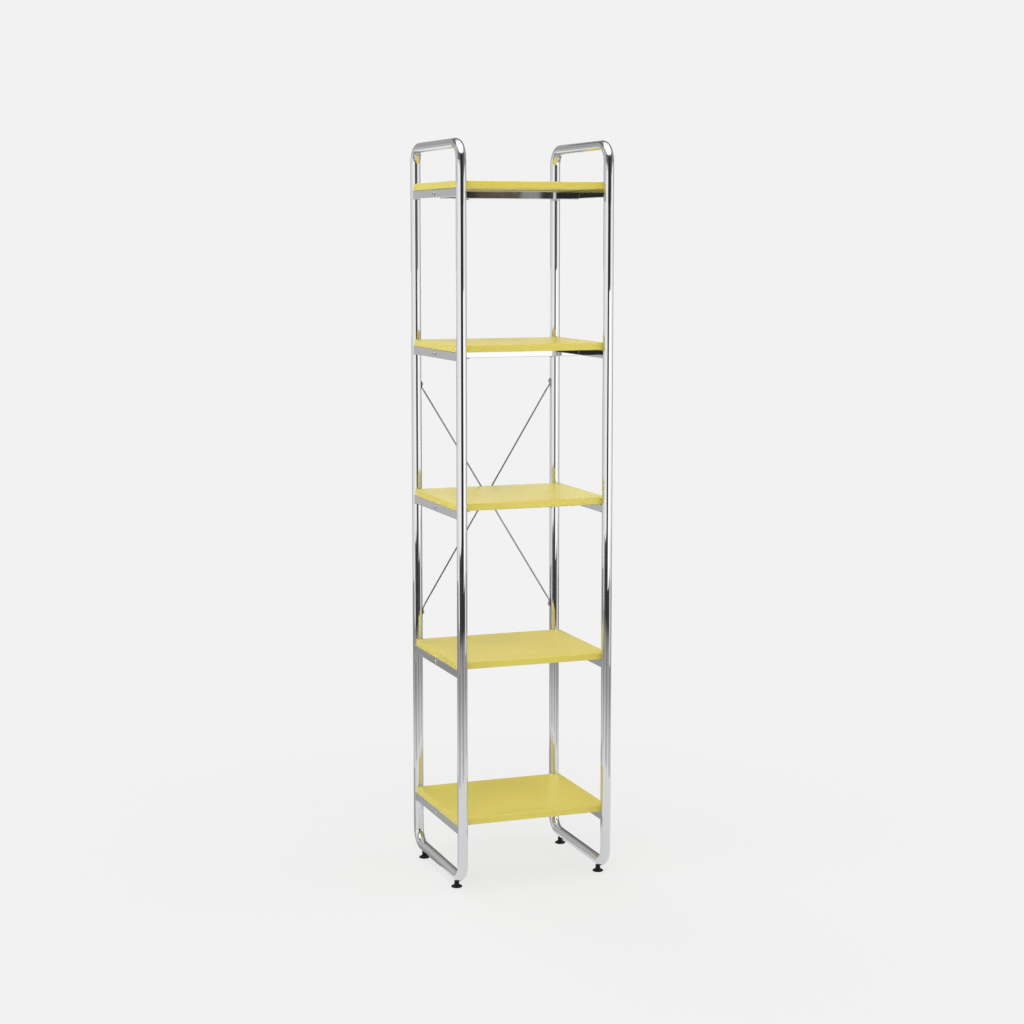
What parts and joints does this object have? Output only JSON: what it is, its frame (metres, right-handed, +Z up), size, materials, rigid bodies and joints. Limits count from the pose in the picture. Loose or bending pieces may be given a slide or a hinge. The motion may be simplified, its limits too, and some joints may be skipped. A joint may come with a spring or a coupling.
{
  "type": "etagere",
  "caption": "Tall narrow open shelf unit: closed loops of chromed round tube at the sides carry yellow lacquered shelves on slim brackets, with a crossed rod brace behind.",
  "frame": {"origin": "on the floor, under the centre of the footprint, with the levelling feet screwed right in", "axes": "+Z up, -Y towards the front, +X to the right as seen from the front"},
  "size_m": [0.4016, 0.377, 1.815],
  "materials": {
    "chrome": "bright chrome plate on steel tube, mirror smooth",
    "yellow_lacquer": "soft yellow lacquer on board, satin gloss",
    "zinc_plate": "bright zinc plate",
    "black_plastic": "moulded black plastic, satin"
  },
  "bodies": {
    "etagere": {"frame_left": "chrome", "frame_right": "chrome", "shelf_bottom": "yellow_lacquer", "shelf_lower": "yellow_lacquer", "shelf_middle": "yellow_lacquer", "shelf_upper": "yellow_lacquer", "shelf_top": "yellow_lacquer", "rail_bottom": "chrome", "rail_lower": "chrome", "rail_middle": "chrome", "rail_upper": "chrome", "rail_top": "chrome", "bracket_bottom_left": "chrome", "bracket_bottom_right": "chrome", "bracket_lower_left": "chrome", "bracket_lower_right": "chrome", "bracket_middle_left": "chrome", "bracket_middle_right": "chrome", "bracket_upper_left": "chrome", "bracket_upper_right": "chrome", "bracket_top_left": "chrome", "bracket_top_right": "chrome", "bracket_bolt_bottom_left": "chrome", "bracket_bolt_bottom_right": "chrome", "bracket_bolt_lower_left": "chrome", "bracket_bolt_lower_right": "chrome", "bracket_bolt_middle_left": "chrome", "bracket_bolt_middle_right": "chrome", "bracket_bolt_upper_left": "chrome", "bracket_bolt_upper_right": "chrome", "bracket_bolt_top_left": "chrome", "bracket_bolt_top_right": "chrome", "shelf_screw_bottom_left": "zinc_plate", "shelf_screw_bottom_right": "zinc_plate", "shelf_screw_lower_left": "zinc_plate", "shelf_screw_lower_right": "zinc_plate", "shelf_screw_middle_left": "zinc_plate", "shelf_screw_middle_right": "zinc_plate", "shelf_screw_upper_left": "zinc_plate", "shelf_screw_upper_right": "zinc_plate", "shelf_screw_top_left": "zinc_plate", "shelf_screw_top_right": "zinc_plate", "brace_rod_front": "chrome", "brace_rod_rear": "chrome", "brace_screw_top_left": "zinc_plate", "brace_screw_top_right": "zinc_plate", "brace_screw_bottom_left": "zinc_plate", "brace_screw_bottom_right": "zinc_plate", "foot_bush_front_left": "zinc_plate", "foot_bush_front_right": "zinc_plate", "foot_bush_rear_left": "zinc_plate", "foot_bush_rear_right": "zinc_plate"},
    "foot_front_left": {"foot_pad_front_left": "black_plastic", "foot_stud_front_left": "zinc_plate"},
    "foot_front_right": {"foot_pad_front_right": "black_plastic", "foot_stud_front_right": "zinc_plate"},
    "foot_rear_left": {"foot_pad_rear_left": "black_plastic", "foot_stud_rear_left": "zinc_plate"},
    "foot_rear_right": {"foot_pad_rear_right": "black_plastic", "foot_stud_rear_right": "zinc_plate"}
  },
  "joints": [
    {"name": "foot_front_left_slide", "type": "slide", "parent": "etagere", "child": "foot_front_left", "axis": [0, 0, -1], "range_m": [0, 0.01]},
    {"name": "foot_front_right_slide", "type": "slide", "parent": "etagere", "child": "foot_front_right", "axis": [0, 0, -1], "range_m": [0, 0.01]},
    {"name": "foot_rear_left_slide", "type": "slide", "parent": "etagere", "child": "foot_rear_left", "axis": [0, 0, -1], "range_m": [0, 0.01]},
    {"name": "foot_rear_right_slide", "type": "slide", "parent": "etagere", "child": "foot_rear_right", "axis": [0, 0, -1], "range_m": [0, 0.01]}
  ]
}
